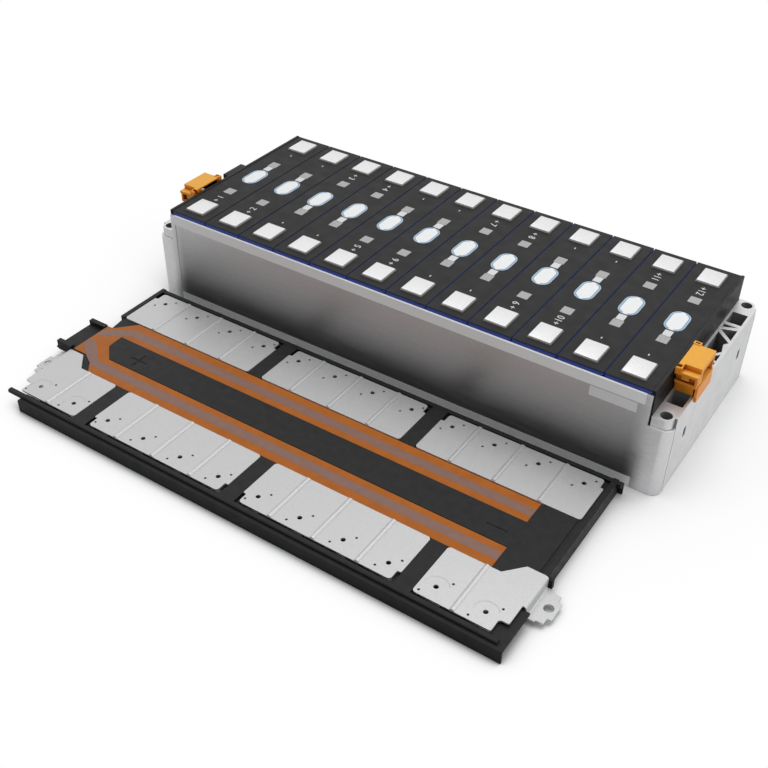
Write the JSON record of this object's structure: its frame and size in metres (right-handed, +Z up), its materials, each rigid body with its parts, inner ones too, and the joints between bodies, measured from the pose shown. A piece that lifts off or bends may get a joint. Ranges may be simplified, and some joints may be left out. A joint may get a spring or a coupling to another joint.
{
  "type": "ev battery module",
  "caption": "Electric car battery module: a row of flat cells between cast end plates and bent side plates, with its busbar tray taken off and laid beside it.",
  "frame": {"origin": "middle of the module's underside, on the surface that the module and its tray stand on", "axes": "+X along the row of cells towards the busbar that is marked minus, +Y away from the tray, +Z up"},
  "size_m": [0.5978, 0.4612, 0.1138],
  "materials": {
    "blue_wrap": "satin blue film",
    "black_sheet": "matt",
    "vent_white": "matt film",
    "cast_aluminium": "fine blasted casting",
    "side_aluminium": "satin sheet",
    "busbar_aluminium": "satin sheet",
    "orange_plastic": "satin",
    "black_plastic": "fine satin moulding",
    "nut_steel": "plated",
    "flex_orange": "smooth laminate"
  },
  "bodies": {
    "root": {"bottom_sheet": "black_sheet", "busbar_far_1": "busbar_aluminium", "busbar_far_2": "busbar_aluminium", "busbar_far_3": "busbar_aluminium", "busbar_near_1": "busbar_aluminium", "busbar_near_2": "busbar_aluminium", "busbar_near_3": "busbar_aluminium", "busbar_near_4": "busbar_aluminium", "busbar_tray": "black_plastic", "cell_01": "blue_wrap", "cell_02": "blue_wrap", "cell_03": "blue_wrap", "cell_04": "blue_wrap", "cell_05": "blue_wrap", "cell_06": "blue_wrap", "cell_07": "blue_wrap", "cell_08": "blue_wrap", "cell_09": "blue_wrap", "cell_10": "blue_wrap", "cell_11": "blue_wrap", "cell_12": "blue_wrap", "cover_base_left": "orange_plastic", "cover_base_right": "orange_plastic", "cover_lid_left": "orange_plastic", "cover_lid_right": "orange_plastic", "end_plate_left": "cast_aluminium", "end_plate_right": "cast_aluminium", "end_wall_left": "black_plastic", "end_wall_right": "black_plastic", "flex_circuit": "flex_orange", "sensing_socket": "black_plastic", "side_plate_far": "side_aluminium", "side_plate_near": "side_aluminium", "terminal_nut_left": "nut_steel", "terminal_nut_right": "nut_steel", "top_sheet_01": "black_sheet", "top_sheet_02": "black_sheet", "top_sheet_03": "black_sheet", "top_sheet_04": "black_sheet", "top_sheet_05": "black_sheet", "top_sheet_06": "black_sheet", "top_sheet_07": "black_sheet", "top_sheet_08": "black_sheet", "top_sheet_09": "black_sheet", "top_sheet_10": "black_sheet", "top_sheet_11": "black_sheet", "top_sheet_12": "black_sheet", "vent_film_01": "vent_white", "vent_film_02": "vent_white", "vent_film_03": "vent_white", "vent_film_04": "vent_white", "vent_film_05": "vent_white", "vent_film_06": "vent_white", "vent_film_07": "vent_white", "vent_film_08": "vent_white", "vent_film_09": "vent_white", "vent_film_10": "vent_white", "vent_film_11": "vent_white", "vent_film_12": "vent_white"}
  },
  "joints": []
}
